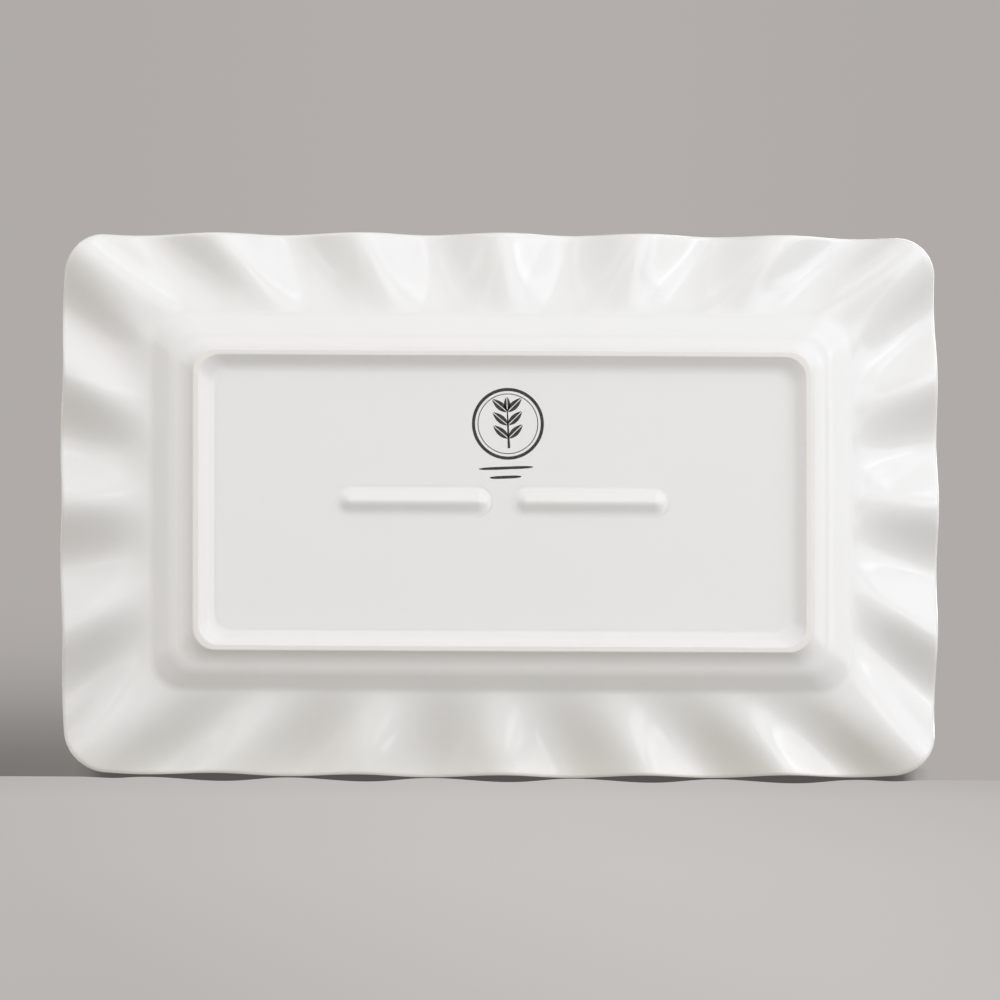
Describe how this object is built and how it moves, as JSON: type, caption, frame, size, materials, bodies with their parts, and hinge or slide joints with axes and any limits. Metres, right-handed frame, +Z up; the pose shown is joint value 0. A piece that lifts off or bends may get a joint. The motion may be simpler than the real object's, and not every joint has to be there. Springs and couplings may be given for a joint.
{
  "type": "serving platter",
  "caption": "Rectangular china serving platter with a flat well, a wide fluted rim, an unglazed foot ring, low sag ribs under the base and a plain printed backstamp",
  "frame": {"origin": "Centre of the plane that the foot ring stands on, under the middle of the well", "axes": "+X along the long side, +Y along the short side, +Z up out of the well"},
  "size_m": [0.305, 0.189, 0.0247],
  "materials": {
    "white_glaze": "smooth clear glaze over white porcelain",
    "bare_foot": "unglazed, ground smooth, faintly tan",
    "print_ink": "black ceramic transfer print fired into the glaze"
  },
  "bodies": {
    "root": {"platter_body": "white_glaze", "foot_ring": "bare_foot", "sag_rib_left": "white_glaze", "sag_rib_right": "white_glaze", "backstamp_seal": "print_ink", "backstamp_sprig": "print_ink", "backstamp_bar_long": "print_ink", "backstamp_bar_short": "print_ink"}
  },
  "joints": []
}
